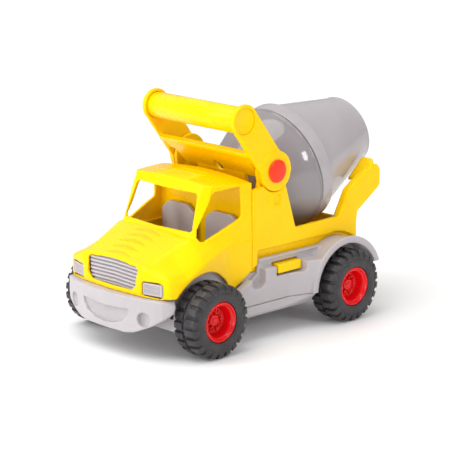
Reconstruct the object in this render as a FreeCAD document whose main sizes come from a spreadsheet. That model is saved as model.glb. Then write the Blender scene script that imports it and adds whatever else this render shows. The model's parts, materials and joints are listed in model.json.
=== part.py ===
import FreeCAD, Part
import math
import os
import Sketcher

# A toy cement mixer, about 32 cm long. +Z is up, the truck's front faces -Y and its
# left side is +X. The origin is the middle of its footprint, on the floor.

Vec = FreeCAD.Vector
doc = FreeCAD.newDocument("toy_cement_mixer")
sheet = doc.addObject("Spreadsheet::Sheet", "sizes")

DIMENSIONS = {
    # wheels and axles
    "tyre_radius": 34.0, "tyre_width": 29.0, "tyre_face_x": 89.7, "shoulder_radius": 29.0,
    "rim_radius": 18.6, "axle_radius": 2.0, "axle_y_front": -99.0, "axle_y_rear": 74.0,
    # chassis
    "belly_z": 21.2, "seam_z": 33.8, "deck_z": 61.0, "wall": 3.0, "chassis_half": 57.5,
    "sill_half": 70.0, "sill_top": 65.5, "ledge_half": 62.5, "ledge_top": 73.6,
    "arch_radius": 40.0, "fender_radius": 44.5, "lip_radius": 46.8, "fender_face_x": 80.5,
    "bumper_y": -160.0, "tray_front": -138.0, "bumper_top": 57.0, "bumper_low": 23.8, "tail_y": 106.0,
    # yellow mixer frame
    "side_x": 61.5, "plate": 5.0, "frame_front": -34.0, "frame_rear": 105.0, "rail_top": 96.0,
    "skirt_z": 81.2,
    # tilting frame and its pins
    "pin_y": -4.9, "pin_z": 152.5, "pin_radius": 5.0, "boss_radius": 18.7, "cap_radius": 10.8,
    "bar_y": -43.5, "bar_z": 203.0, "bar_radius": 12.2, "loop_radius": 15.2, "arm_inner": 57.1,
    # drum, measured along its sloping axis from the drum origin
    "drum_y": -12.5, "drum_z": 119.0, "drum_slope": 14.7, "drum_front": 9.4, "drum_nose": 27.0,
    "rim_station": 72.6, "rim_drum": 60.4, "band_station": 88.2, "band_radius": 59.7,
    "knee_radius": 56.6, "mouth_station": 167.8, "mouth_radius": 35.0, "drum_wall": 2.2, "hub_bore": 4.08,
    "drum_axle": 4.0,
    # cab
    "cab_rear": -34.4, "cab_wall": 2.6, "roof_z": 150.0,
}


class Size:
    """A length that keeps both its number and the sheet expression it comes from."""

    def __init__(self, value, text):
        self.value = float(value)
        self.text = text

    def _join(self, other, sign, value):
        text = other.text if isinstance(other, Size) else repr(float(other))
        return Size(value, "(" + self.text + " " + sign + " " + text + ")")

    def __add__(self, other):
        return self._join(other, "+", self.value + float(other))

    def __sub__(self, other):
        return self._join(other, "-", self.value - float(other))

    def __radd__(self, other):
        return self + other

    def __rsub__(self, other):
        return Size(float(other) - self.value, "(" + repr(float(other)) + " - " + self.text + ")")

    def __mul__(self, other):
        return self._join(other, "*", self.value * float(other))

    def __truediv__(self, other):
        return self._join(other, "/", self.value / float(other))

    def __neg__(self):
        return Size(-self.value, "(-1 * " + self.text + ")")

    def __float__(self):
        return self.value


def fill_sheet():
    sizes = {}
    for row, (alias, value) in enumerate(DIMENSIONS.items(), start=1):
        sheet.set("A" + str(row), alias)
        sheet.set("B" + str(row), str(value))
        sheet.setAlias("B" + str(row), alias)
        sizes[alias] = Size(value, "sizes." + alias)
    doc.recompute()
    return sizes


D = fill_sheet()


def bind(thing, name, size):
    """Give a property its number and, where it comes from the sheet, its expression."""
    if isinstance(size, Size):
        thing.setExpression(name, size.text)
    else:
        setattr(thing, name, size)


def new_body(name):
    body = doc.addObject("PartDesign::Body", name)
    body.Label = name
    return body


def new_sketch(body, name, role, offset=0.0):
    """A sketch on one of the body's own origin planes, moved along that plane's normal."""
    plane = [item for item in body.Origin.OriginFeatures if item.Role == role][0]
    sketch = body.newObject("Sketcher::SketchObject", name)
    sketch.AttachmentSupport = [(plane, "")]
    sketch.MapMode = "FlatFace"
    if isinstance(offset, Size):
        sketch.setExpression("AttachmentOffset.Base.z", offset.text)
    else:
        sketch.AttachmentOffset = FreeCAD.Placement(Vec(0, 0, offset), FreeCAD.Rotation())
    return sketch


def pin_down(sketch, kind, geometry, point, size, label):
    if not isinstance(size, Size):
        return
    index = sketch.addConstraint(Sketcher.Constraint(kind, -1, 1, geometry, point, size.value))
    sketch.renameConstraint(index, label)
    sketch.setExpression("Constraints." + label, size.text)


def draw_outline(sketch, points):
    """A closed outline of straight lines; every coordinate from the sheet is bound to it."""
    first = sketch.GeometryCount
    count = len(points)
    for k in range(count):
        start, end = points[k], points[(k + 1) % count]
        line = Part.LineSegment(
            Vec(float(start[0]), float(start[1]), 0), Vec(float(end[0]), float(end[1]), 0))
        sketch.addGeometry(line, False)
    for k in range(count):
        after = first + (k + 1) % count
        sketch.addConstraint(Sketcher.Constraint("Coincident", first + k, 2, after, 1))
    for k, (across, up) in enumerate(points):
        pin_down(sketch, "DistanceX", first + k, 1, across, "across" + str(first + k))
        pin_down(sketch, "DistanceY", first + k, 1, up, "up" + str(first + k))


def draw_circle(sketch, across, up, radius):
    index = sketch.addGeometry(
        Part.Circle(Vec(float(across), float(up), 0), Vec(0, 0, 1), float(radius)), False)
    pin_down(sketch, "DistanceX", index, 3, across, "across" + str(index))
    pin_down(sketch, "DistanceY", index, 3, up, "up" + str(index))
    if isinstance(radius, Size):
        number = sketch.addConstraint(Sketcher.Constraint("Radius", index, radius.value))
        sketch.renameConstraint(number, "radius" + str(index))
        sketch.setExpression("Constraints.radius" + str(index), radius.text)


def add_feature(body, kind, name, sketch, length=None, midplane=False, reverse=False):
    feature = body.newObject("PartDesign::" + kind, name)
    feature.Profile = sketch
    if length is not None:
        bind(feature, "Length", length)
        feature.Midplane = midplane
        feature.Reversed = reverse
    sketch.Visibility = False
    return feature


def spin_feature(body, kind, name, sketch):
    """A revolution or a groove all the way round the sketch's own upright axis."""
    feature = body.newObject("PartDesign::" + kind, name)
    feature.Profile = sketch
    feature.ReferenceAxis = (sketch, ["V_Axis"])
    feature.Angle = 360.0
    return feature


def outline_pad(body, name, role, points, length, offset=0.0, midplane=False, kind="Pad"):
    sketch = new_sketch(body, name + "_sketch", role, offset)
    draw_outline(sketch, points)
    return add_feature(body, kind, name, sketch, length, midplane)


def circle_pad(body, name, role, centre, radius, length, offset=0.0, midplane=False, kind="Pad"):
    sketch = new_sketch(body, name + "_sketch", role, offset)
    draw_circle(sketch, centre[0], centre[1], radius)
    return add_feature(body, kind, name, sketch, length, midplane)


def mirror_left_right(body, name, features):
    plane = [item for item in body.Origin.OriginFeatures if item.Role == "YZ_Plane"][0]
    mirrored = body.newObject("PartDesign::Mirrored", name)
    mirrored.Originals = features
    mirrored.MirrorPlane = (plane, [""])
    body.Tip = mirrored
    return mirrored


def repeat_round(body, name, features, count):
    """Repeat features evenly round the body's own Z axis."""
    axis = [item for item in body.Origin.OriginFeatures if item.Role == "Z_Axis"][0]
    pattern = body.newObject("PartDesign::PolarPattern", name)
    pattern.Originals = features
    pattern.Axis = (axis, [""])
    pattern.Angle = 360.0
    pattern.Occurrences = count
    body.Tip = pattern
    return pattern


def stand(body, base, axis, angle):
    """Place a piece that was drawn about its own Z axis."""
    body.Placement = FreeCAD.Placement(
        Vec(*[float(item) for item in base]), FreeCAD.Rotation(axis, float(angle)))
    for letter, item in zip("xyz", base):
        if isinstance(item, Size):
            body.setExpression("Placement.Base." + letter, item.text)
    return body


def along_drum(body):
    """Tip a piece drawn about its own Z axis onto the drum's sloping axis."""
    stand(body, (0.0, D["drum_y"], D["drum_z"]), Vec(1, 0, 0), D["drum_slope"] - 90)
    return body


# ---------------------------------------------------------------- wheels and axles

LUGS = 22
LUG_GAP = 3.4
LUG_DEPTH = 2.6


def make_tyre(name, side, axle_y):
    """Hollow-cored tyre with two staggered rows of blocks; its outer face is up in its frame."""
    body = new_body(name)
    half = D["tyre_width"] / 2
    sketch = new_sketch(body, name + "_ring", "XZ_Plane")
    seat, top = D["rim_radius"], D["tyre_radius"]
    draw_outline(sketch, [
        (seat, -half + 2), (seat + 2, -half), (D["shoulder_radius"] - 1, -half),
        (D["shoulder_radius"] + 1, -half + 0.8), (top, -half + 3.2), (top, half - 3.2),
        (D["shoulder_radius"] + 1, half - 0.8), (D["shoulder_radius"] - 1, half),
        (seat + 2, half), (seat, half - 2)])
    spin_feature(body, "Revolution", name + "_tread", sketch)
    cuts = []
    for row, (low, high) in enumerate([(-16.0, -1.6), (1.6, 16.0)]):
        turn = math.radians(360.0 / LUGS / 2 * row)
        cut = new_sketch(body, name + "_gap" + str(row), "XY_Plane", low)
        inner, outer = float(top) - LUG_DEPTH, float(top) + 2
        corners = [(inner, -LUG_GAP / 2), (outer, -LUG_GAP / 2),
                   (outer, LUG_GAP / 2), (inner, LUG_GAP / 2)]
        draw_outline(cut, [
            (x * math.cos(turn) - y * math.sin(turn), x * math.sin(turn) + y * math.cos(turn))
            for x, y in corners])
        cuts.append(add_feature(body, "Pocket", name + "_groove" + str(row), cut, high - low,
                                reverse=True))
    repeat_round(body, name + "_blocks", cuts, LUGS)
    return stand(body, ((D["tyre_face_x"] - half) * side, axle_y, D["tyre_radius"]),
                 Vec(0, 1, 0), 90 * side)


def make_rim(name, side, axle_y):
    """Deep dished wheel hub with a double rounded lip, pressed on the axle."""
    body = new_body(name)
    sketch = new_sketch(body, name + "_section", "XZ_Plane")
    bore, seat = D["axle_radius"] + 0.02, D["rim_radius"] - 0.1
    draw_outline(sketch, [
        (bore, -11.0), (5.0, -11.0), (5.0, -1.5), (seat - 2.4, -1.5), (seat - 2.4, -12.0),
        (seat, -12.0), (seat, 12.6), (seat - 0.8, 13.6), (seat - 2.0, 13.2), (seat - 2.8, 11.6),
        (seat - 4.0, 11.2), (seat - 4.8, 9.6), (seat - 6.4, 2.6), (6.4, 1.4), (5.6, 4.6),
        (2.4, 5.2), (bore, 5.2)])
    spin_feature(body, "Revolution", name + "_dish", sketch)
    half = D["tyre_width"] / 2
    return stand(body, ((D["tyre_face_x"] - half) * side, axle_y, D["tyre_radius"]),
                 Vec(0, 1, 0), 90 * side)


def make_axle(name, axle_y):
    body = new_body(name)
    centre = D["tyre_face_x"] - D["tyre_width"] / 2
    length = (centre + 4.5) * 2
    circle_pad(body, name + "_rod", "XY_Plane", (0.0, 0.0), D["axle_radius"], length, midplane=True)
    return stand(body, (0.0, axle_y, D["tyre_radius"]), Vec(0, 1, 0), 90)


# ---------------------------------------------------------------- drum

def make_drum_front():
    """Domed front half of the drum, with the hub that turns on the drum axle."""
    body = new_body("drum_front_shell")
    sketch = new_sketch(body, "dome_section", "XZ_Plane")
    skin, start = D["drum_wall"], D["drum_front"]
    nose, rim, end = D["drum_nose"], D["rim_drum"], D["rim_station"]
    bore = D["hub_bore"]
    outer = [(nose, start), (nose + 4.0, start + 1.2), (nose + 10.5, start + 9.5),
             (nose + 18.0, start + 22.0), (nose + 24.6, start + 35.6), (rim - 3.4, start + 48.0),
             (rim - 0.8, end - 7.8), (rim, end)]
    inner = [(rim - skin, end), (rim - skin - 0.7, end - 7.4), (rim - skin - 3.2, start + 48.8),
             (nose + 24.9 - skin, start + 36.6), (nose + 18.4 - skin, start + 23.2),
             (nose + 11.1 - skin, start + 11.0), (nose + 2.5, start + 3.8),
             (nose - 1.5, start + skin)]
    hub = [(9.0, start + skin), (9.0, start + 12.0), (bore, start + 12.0), (bore, start)]
    draw_outline(sketch, outer + inner + hub)
    spin_feature(body, "Revolution", "dome", sketch)
    return along_drum(body)


def make_drum_rear():
    """Rear half: a spigot inside the front half, the broad band, the cone and its open mouth."""
    body = new_body("drum_rear_shell")
    sketch = new_sketch(body, "cone_section", "XZ_Plane")
    skin = D["drum_wall"]
    band, neck, mouth = D["band_radius"], D["knee_radius"], D["mouth_radius"]
    seam, knee, end = D["rim_station"], D["band_station"], D["mouth_station"]
    spigot = D["rim_drum"] - skin - 0.8
    draw_outline(sketch, [
        (spigot, seam - 6.0), (spigot, seam), (band, seam), (band, knee - 1.2),
        (band - 0.9, knee), (neck, knee + 0.8), (mouth, end - 3.0), (mouth, end - 0.6),
        (mouth - 0.6, end), (mouth - skin, end), (mouth - skin - 0.4, end - 3.0),
        (neck - skin - 0.3, knee - 1.2),
        (spigot - skin, knee - 4.0), (spigot - skin, seam - 6.0)])
    spin_feature(body, "Revolution", "cone", sketch)
    return along_drum(body)


HUB_WALL_FRONT = 3.2
HUB_WALL_REAR = 7.2


def make_drum_axle():
    """Headed pin fixed in the tilting frame; the drum's hub turns on it."""
    body = new_body("drum_axle")
    sketch = new_sketch(body, "axle_section", "XZ_Plane")
    shaft, tail = D["drum_axle"], D["drum_front"] + 18.0
    head = HUB_WALL_FRONT - 3.6
    draw_outline(sketch, [
        (0.0, head), (6.2, head), (7.6, head + 1.2), (7.6, HUB_WALL_FRONT),
        (shaft, HUB_WALL_FRONT), (shaft, tail), (0.0, tail)])
    spin_feature(body, "Revolution", "axle_turning", sketch)
    return along_drum(body)


def make_drum_retainer():
    """Washer pressed on the end of the drum axle, inside the drum."""
    body = new_body("drum_retainer")
    sketch = new_sketch(body, "washer_section", "XZ_Plane")
    low = D["drum_front"] + 12.5
    draw_outline(sketch, [
        (D["drum_axle"] + 0.02, low), (10.0, low), (10.0, low + 1.8),
        (7.0, low + 3.0), (D["drum_axle"] + 0.02, low + 3.0)])
    spin_feature(body, "Revolution", "washer", sketch)
    return along_drum(body)


# ---------------------------------------------------------------- tilting frame

def drum_point(station, height):
    """Y and Z of a point beside the drum axis, in the truck's middle plane."""
    slope = math.radians(float(D["drum_slope"]))
    across = math.cos(slope) * station - math.sin(slope) * height
    up = math.sin(slope) * station + math.cos(slope) * height
    return D["drum_y"] + across, D["drum_z"] + up


APRON_TOP = (-39.7, 173.2)
APRON_BEND = (-14.2, 145.4)
APRON_WIDE = (-27.6, 160.1)
APRON_THICK = 3.4


def make_tilt_frame():
    """Two side arms, the bent apron between them and the wall that carries the drum axle."""
    body = new_body("tilt_frame_body")
    pin_y, pin_z = D["pin_y"], D["pin_z"]
    bar_y, bar_z = D["bar_y"], D["bar_z"]
    run_y, run_z = float(pin_y) - float(bar_y), float(pin_z) - float(bar_z)
    run = math.hypot(run_y, run_z)
    out_y = -run_z / run * float(D["loop_radius"])
    out_z = run_y / run * float(D["loop_radius"])
    inner, thick = D["arm_inner"], D["side_x"] - D["arm_inner"]
    strip = [(bar_y + out_y, bar_z + out_z), (pin_y + out_y, pin_z + out_z),
             (pin_y - out_y, pin_z - out_z), (bar_y - out_y, bar_z - out_z)]
    arm = outline_pad(body, "arm", "YZ_Plane", strip, thick, inner)
    loop = circle_pad(body, "loop", "YZ_Plane", (bar_y, bar_z), D["loop_radius"], thick, inner)
    boss = circle_pad(body, "boss", "YZ_Plane", (pin_y, pin_z), D["boss_radius"], thick + 1, inner)
    mirror_left_right(body, "other_arm", [arm, loop, boss])

    # The broad upper apron joins the arms; below it the apron narrows to pass the uprights.
    slope_y = APRON_BEND[0] - APRON_TOP[0]
    slope_z = APRON_BEND[1] - APRON_TOP[1]
    slope = math.hypot(slope_y, slope_z)
    off_y = -slope_z / slope * APRON_THICK
    off_z = slope_y / slope * APRON_THICK
    outline_pad(body, "apron", "YZ_Plane", [
        APRON_TOP, APRON_WIDE, (APRON_WIDE[0] + off_y, APRON_WIDE[1] + off_z),
        (APRON_TOP[0] + off_y, APRON_TOP[1] + off_z)], (inner + 1) * 2, midplane=True)
    outline_pad(body, "apron_lip", "YZ_Plane", [
        (APRON_TOP[0] - 2.6, APRON_TOP[1] - 0.2), (APRON_TOP[0] + 1.0, APRON_TOP[1] - 5.0),
        (APRON_TOP[0] + 5.4, APRON_TOP[1] - 5.2), (APRON_TOP[0] + 1.6, APRON_TOP[1] - 0.6)],
        (inner + 1) * 2, midplane=True)
    bend_rear = (APRON_BEND[0] + off_y, APRON_BEND[1] + off_z)
    outline_pad(body, "apron_narrow", "YZ_Plane", [
        APRON_WIDE, APRON_BEND, bend_rear, (APRON_WIDE[0] + off_y, APRON_WIDE[1] + off_z)],
        100.0, midplane=True)
    outline_pad(body, "hub_wall", "YZ_Plane", [
        drum_point(HUB_WALL_FRONT, 28.0), drum_point(HUB_WALL_FRONT, -20.0),
        drum_point(HUB_WALL_REAR, -20.0), drum_point(HUB_WALL_REAR, 28.0)], 64.0, midplane=True)
    outline_pad(body, "apron_web", "YZ_Plane", [
        APRON_BEND, drum_point(HUB_WALL_FRONT, 22.0), drum_point(HUB_WALL_REAR, 22.0),
        drum_point(HUB_WALL_REAR, 29.0), bend_rear], 64.0, midplane=True)

    for label, centre, radius in (("pin_hole", (pin_y, pin_z), D["pin_radius"] + 0.08),
                                  ("bar_hole", (bar_y, bar_z), D["bar_radius"] + 0.04)):
        circle_pad(body, label, "YZ_Plane", centre, radius, 140.0, midplane=True, kind="Pocket")
    circle_pad(body, "vent_hole", "XZ_Plane", (0.0, 151.0), 4.5, 70.0, midplane=True,
               kind="Pocket")
    doc.recompute()
    return cut_with("tilt_frame", body, [
        drum_bore("axle_seat", D["drum_axle"] + 0.02, HUB_WALL_FRONT - 2, HUB_WALL_REAR + 2)])


def cut_with(name, base, tools):
    """The base piece less one or more cutting pieces, all kept in the document."""
    cutter = tools[0]
    if len(tools) > 1:
        cutter = doc.addObject("Part::MultiFuse", name + "_cutters")
        cutter.Shapes = tools
    base.Label = name + "_blank"
    result = doc.addObject("Part::Cut", name)
    result.Base = base
    result.Tool = cutter
    result.Label = name
    return result


def drum_bore(name, radius, start, end):
    """A cylinder on the drum's axis, between two stations."""
    tool = doc.addObject("Part::Cylinder", name)
    bind(tool, "Radius", radius)
    tool.Height = end - start
    y, z = drum_point(start, 0.0)
    tool.Placement = FreeCAD.Placement(
        Vec(0, float(y), float(z)), FreeCAD.Rotation(Vec(1, 0, 0), float(D["drum_slope"]) - 90))
    return tool


def drum_cone(name, clearance, start, end):
    """A cone as wide as the drum's rear half plus a clearance, between two stations."""
    knee, mouth = float(D["band_station"]), float(D["mouth_station"])
    big, small = float(D["knee_radius"]), float(D["mouth_radius"])
    fall = (big - small) / (mouth - knee)
    tool = doc.addObject("Part::Cone", name)
    tool.Radius1 = big - fall * (start - knee) + clearance
    tool.Radius2 = big - fall * (end - knee) + clearance
    tool.Height = end - start
    y, z = drum_point(start, 0.0)
    tool.Placement = FreeCAD.Placement(
        Vec(0, float(y), float(z)), FreeCAD.Rotation(Vec(1, 0, 0), float(D["drum_slope"]) - 90))
    return tool


def make_handle_bar():
    """Hollow round bar; its closed ends sit a little inside the arms' outer faces."""
    outer = doc.addObject("Part::Cylinder", "bar_outside")
    bind(outer, "Radius", D["bar_radius"])
    bind(outer, "Height", (D["side_x"] - 1.4) * 2)
    inner = doc.addObject("Part::Cylinder", "bar_inside")
    bind(inner, "Radius", D["bar_radius"] - 2.2)
    bind(inner, "Height", (D["side_x"] - 4.0) * 2)
    for tube, reach in ((outer, float(D["side_x"]) - 1.4), (inner, float(D["side_x"]) - 4.0)):
        tube.Placement = FreeCAD.Placement(
            Vec(-reach, float(D["bar_y"]), float(D["bar_z"])),
            FreeCAD.Rotation(Vec(0, 1, 0), 90))
        tube.setExpression("Placement.Base.y", D["bar_y"].text)
        tube.setExpression("Placement.Base.z", D["bar_z"].text)
    bar = doc.addObject("Part::Cut", "handle_bar")
    bar.Base = outer
    bar.Tool = inner
    bar.Label = "handle_bar"
    return bar


def make_pivot_pin(name, side):
    """Red pin: a wide low cap outside the arm and a shaft pressed in the upright."""
    body = new_body(name)
    sketch = new_sketch(body, name + "_section", "XZ_Plane")
    seat = D["side_x"] + 1.0 + 0.1
    cap, shaft = D["cap_radius"], D["pin_radius"]
    draw_outline(sketch, [
        (0.0, 52.5), (shaft - 0.8, 52.5), (shaft, 53.5), (shaft, seat), (cap, seat),
        (cap, seat + 1.0), (cap - 1.2, seat + 2.2), (cap * 0.5, seat + 2.8), (0.0, seat + 3.0)])
    spin_feature(body, "Revolution", name + "_turning", sketch)
    return stand(body, (0.0, D["pin_y"], D["pin_z"]), Vec(0, 1, 0), 90 * side)


# ---------------------------------------------------------------- mixer frame

def make_mixer_frame():
    """Yellow frame: side plates with uprights and rear arms, inner walls, floor and end walls."""
    body = new_body("mixer_frame_body")
    pin = (D["pin_y"], D["pin_z"])
    outer, thick = D["side_x"], D["plate"]
    front, rear, rail = D["frame_front"], D["frame_rear"], D["rail_top"]
    skirt = D["skirt_z"]
    side = outline_pad(body, "side_plate", "YZ_Plane", [
        (front, 64.7), (-27.3, 68.1), (-27.3, skirt), (72.0, skirt), (rear, 66.0),
        (rear, rail), (80.2, rail), (21.8, rail - 1), (8.1, 138.4), (pin[0], pin[1] - 4),
        (-20.0, 140.3), (front, 138.8)], thick, outer - thick)
    arm = outline_pad(body, "rear_arm", "YZ_Plane", [
        (78.2, rail - 6), (rear, rail - 6), (106.3, 97.1), (133.1, 115.1), (137.2, 119.0),
        (136.8, 134.8), (133.3, 138.7), (125.1, 141.0), (123.1, 136.8), (103.9, 127.3),
        (92.4, 119.5), (79.6, rail)], thick + 2.5, outer - thick - 2.5)
    tab = outline_pad(body, "upright_web", "YZ_Plane", [
        (-20.3, 151.0), (-26.0, 128.0), (-26.0, 100.0), (19.0, 100.0), (10.5, 151.0)],
        4.3, outer - thick - 4.1)
    eye = circle_pad(body, "upright_eye", "YZ_Plane", pin, D["boss_radius"], 4.3, outer - thick - 4.1)
    ring = circle_pad(body, "side_ring", "YZ_Plane", (-2.8, 125.1), 8.4, 1.0, outer)
    wall = outline_pad(body, "inner_wall", "YZ_Plane", [
        (front, 61.2), (rear, 61.2), (rear, rail - 6), (front, rail - 6)],
        3.4, outer - thick - 3.1)
    latch = outline_pad(body, "latch", "YZ_Plane", [
        (-8.0, 57.6), (22.2, 57.6), (22.2, 66.2), (-8.0, 66.2)], 13.9, outer - thick - 1.4)
    mirror_left_right(body, "other_side", [side, arm, tab, eye, ring, wall, latch])
    width = (outer - thick + 0.5) * 2
    outline_pad(body, "front_wall", "YZ_Plane", [
        (front, 61.2), (front + 3.4, 61.2), (front + 3.4, 116.0), (front, 116.0)], width,
        midplane=True)
    outline_pad(body, "floor", "YZ_Plane", [
        (front, 61.2), (rear, 61.2), (rear, 64.2), (front, 64.2)], width, midplane=True)
    outline_pad(body, "rear_wall", "YZ_Plane", [
        (rear - 3.4, 61.2), (rear, 61.2), (rear, 88.6), (rear - 3.4, 88.6)], width,
        midplane=True)
    outline_pad(body, "cradle", "YZ_Plane", [
        (111.5, 124.0), (134.5, 140.4), (133.4, 143.6), (110.3, 127.0)],
        (outer - thick - 1) * 2, midplane=True)
    circle_pad(body, "saddle", "YZ_Plane", pin, D["boss_radius"] + 0.6, 6.5, outer - thick + 0.3,
               kind="Pocket").Reversed = True
    circle_pad(body, "saddle_other", "YZ_Plane", pin, D["boss_radius"] + 0.6, 6.5,
               -outer - 1.2, kind="Pocket").Reversed = True
    arch = (D["axle_y_rear"], D["tyre_radius"])
    for label, start in (("arch_left", outer - thick + 0.4), ("arch_right", -outer - 1.2)):
        circle_pad(body, label, "YZ_Plane", arch, 48.0, 6.0, start, kind="Pocket").Reversed = True
    circle_pad(body, "pin_bore", "YZ_Plane", pin, D["pin_radius"] + 0.02, 140.0, midplane=True,
               kind="Pocket")
    circle_pad(body, "ring_bore", "YZ_Plane", (-2.8, 125.1), 5.2, 3.0, outer - 1.6,
               kind="Pocket").Reversed = True
    circle_pad(body, "ring_bore_other", "YZ_Plane", (-2.8, 125.1), 5.2, 3.0, -outer - 1.4,
               kind="Pocket").Reversed = True
    doc.recompute()
    return cut_with("mixer_frame", body, [drum_cone("cradle_cutter", 2.4, 95.0, 176.0)])


# ---------------------------------------------------------------- chassis and base plate

BUMPER_PLAN = [(0.0, 0.0), (25.0, 1.2), (45.0, 5.0), (58.0, 9.6), (64.0, 13.6), (68.0, 18.6),
               (70.0, 24.0), (70.4, 30.0)]
# Front view of what is rounded off each end of the bumper, below and above: across and height.
BUMPER_UNDERCUT = [(26.0, 23.7), (36.0, 25.2), (44.0, 28.6), (55.0, 33.6), (63.0, 39.0),
                   (70.0, 46.0), (78.0, 46.0), (78.0, 15.0), (26.0, 15.0)]
BUMPER_SHOULDER = [(60.0, 57.1), (66.0, 55.2), (69.3, 51.5), (70.6, 47.0), (78.0, 47.0),
                   (78.0, 60.0), (60.0, 60.0)]


# The sills widen from here back to the fenders; the pan below them widens a little less.
FLARE_FRONT = 4.0
PAN_FLARE = 77.5
# What is taken off the pan's lower side edge: across and height.
PAN_ROUND = [(61.0, 21.1), (66.6, 22.2), (70.6, 26.2), (78.2, 33.8), (90.0, 33.8), (90.0, 20.0),
             (61.0, 20.0)]


def mirrored_plan(half_plan, nose_y, closing):
    """Plan outline from a half outline, measured back from the nose, and its closing points."""
    left = [(across, nose_y + back) for across, back in half_plan]
    right = [(-across, nose_y + back) for across, back in reversed(half_plan[1:])]
    return left + closing + [(-across, y) for across, y in reversed(closing)] + right


def make_chassis():
    body = new_body("chassis")
    seam, deck = D["seam_z"], D["deck_z"]
    half, sill = D["chassis_half"], D["sill_half"]
    front, tail, wall = D["tray_front"], D["tail_y"], D["wall"]
    wheel_front = (D["axle_y_front"], D["tyre_radius"])
    wheel_rear = (D["axle_y_rear"], D["tyre_radius"])
    height = deck - seam
    outline_pad(body, "tray", "XY_Plane", [
        (-half, front), (half, front), (half, tail), (-half, tail)], height, seam)
    outline_pad(body, "bumper", "XY_Plane",
                mirrored_plan(BUMPER_PLAN, D["bumper_y"], [(66.0, -129.0), (40.0, -128.0)]),
                D["bumper_top"] - D["bumper_low"], D["bumper_low"])
    side_sill = outline_pad(body, "sill", "YZ_Plane", [
        (-62.0, seam), (38.0, seam), (38.0, D["sill_top"]), (-30.0, D["sill_top"]),
        (-42.0, 58.0), (-62.0, 49.0)], sill - half + 0.3, half - 0.3)
    flare = outline_pad(body, "flare", "XY_Plane", [
        (half - 0.3, FLARE_FRONT), (sill, FLARE_FRONT), (D["fender_face_x"] - 1.0, 40.0),
        (D["fender_face_x"], 46.0), (D["fender_face_x"], 52.0), (half - 0.3, 52.0)],
        D["sill_top"] - 0.4 - seam, seam)
    wheel_house = outline_pad(body, "wheel_house", "YZ_Plane", [
        (-134.0, deck - 4), (-52.0, deck - 4), (-58.0, 76.5), (-130.0, 76.5)], wall, half - wall)
    ledge = outline_pad(body, "ledge", "YZ_Plane", [
        (-27.0, deck - 4), (55.0, deck - 4), (55.0, D["ledge_top"]), (-27.0, D["ledge_top"])],
        D["ledge_half"] - half + 0.3, half - 0.3)
    rail = outline_pad(body, "ledge_rail", "YZ_Plane", [
        (-27.0, D["ledge_top"] - 1.8), (55.0, D["ledge_top"] - 1.8), (55.0, D["ledge_top"]),
        (-27.0, D["ledge_top"])], 2.2, D["ledge_half"] - 0.2)
    fender = circle_pad(body, "fender", "YZ_Plane", wheel_rear, D["fender_radius"],
                        D["fender_face_x"] - half, half)
    lip = circle_pad(body, "fender_lip", "YZ_Plane", wheel_rear, D["lip_radius"], 3.2,
                     D["fender_face_x"] - 3.2)
    mirror_left_right(body, "right_side", [side_sill, flare, wheel_house, ledge, rail, fender, lip])
    depth = D["fender_face_x"] - half + 10
    for side, start in (("left", half + 0.2), ("right", -half - 0.2 - depth)):
        trim = half if side == "left" else -half - depth
        for label, centre in (("front", wheel_front), ("rear", wheel_rear)):
            circle_pad(body, "arch_" + label + "_" + side, "YZ_Plane", centre,
                       D["arch_radius"], depth, start, kind="Pocket").Reversed = True
        outline_pad(body, "fender_trim_" + side, "YZ_Plane", [
            (60.0, seam), (60.0, -30.0), (140.0, -30.0), (140.0, 50.0), (100.0, 50.0),
            (100.0, seam)], depth, trim, kind="Pocket").Reversed = True
        outline_pad(body, "fender_foot_" + side, "YZ_Plane", [
            (20.0, seam), (20.0, -30.0), (61.0, -30.0), (61.0, seam)], depth, trim,
            kind="Pocket").Reversed = True
    # the cab's and the latches' clearances in the sills
    for side, low, high in (("left", half - 0.4, 62.2), ("right", -62.2, -half + 0.4)):
        outline_pad(body, "skirt_slot_" + side, "YZ_Plane", [
            (-70.0, 45.0), (-50.0, 45.0), (-27.2, 60.0), (-27.2, 90.0), (-70.0, 90.0)],
            high - low, low, kind="Pocket").Reversed = True
    for side, start in (("left", 54.6), ("right", -80.6)):
        outline_pad(body, "latch_window_" + side, "YZ_Plane", [
            (-10.8, 55.8), (23.2, 55.8), (23.2, 67.4), (-10.8, 67.4)], 26.0, start,
            kind="Pocket").Reversed = True
    for side, start in (("left", 61.0), ("right", -72.0)):
        outline_pad(body, "step_" + side, "YZ_Plane", [
            (-42.0, 54.0), (-40.2, 50.2), (-36.4, 48.6), (-30.4, 48.6), (-26.5, 50.2),
            (-24.7, 54.0), (-24.7, 70.0), (-42.0, 70.0)], 11.0, start,
            kind="Pocket").Reversed = True
    # hollow underside
    outline_pad(body, "tray_hollow", "XY_Plane", [
        (-half + wall, front + wall), (half - wall, front + wall), (half - wall, tail - wall),
        (-half + wall, tail - wall)], height - wall, seam, kind="Pocket").Reversed = True
    outline_pad(body, "bumper_hollow", "XY_Plane",
                mirrored_plan([(0.0, 9.0), (25.0, 9.8), (44.0, 13.0), (56.0, 17.4),
                               (62.0, 22.0)], D["bumper_y"], [(62.0, -130.0), (54.0, -125.0)]),
                D["bumper_top"] - D["bumper_low"] - 4, D["bumper_low"] - 1,
                kind="Pocket").Reversed = True
    for side, low in (("left", half + 2.4), ("right", -sill + 2.6)):
        outline_pad(body, "sill_hollow_" + side, "YZ_Plane", [
            (-46.0, seam - 1), (31.0, seam - 1), (31.0, 43.5), (-46.0, 43.5)],
            sill - half - 5.0, low, kind="Pocket").Reversed = True
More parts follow.
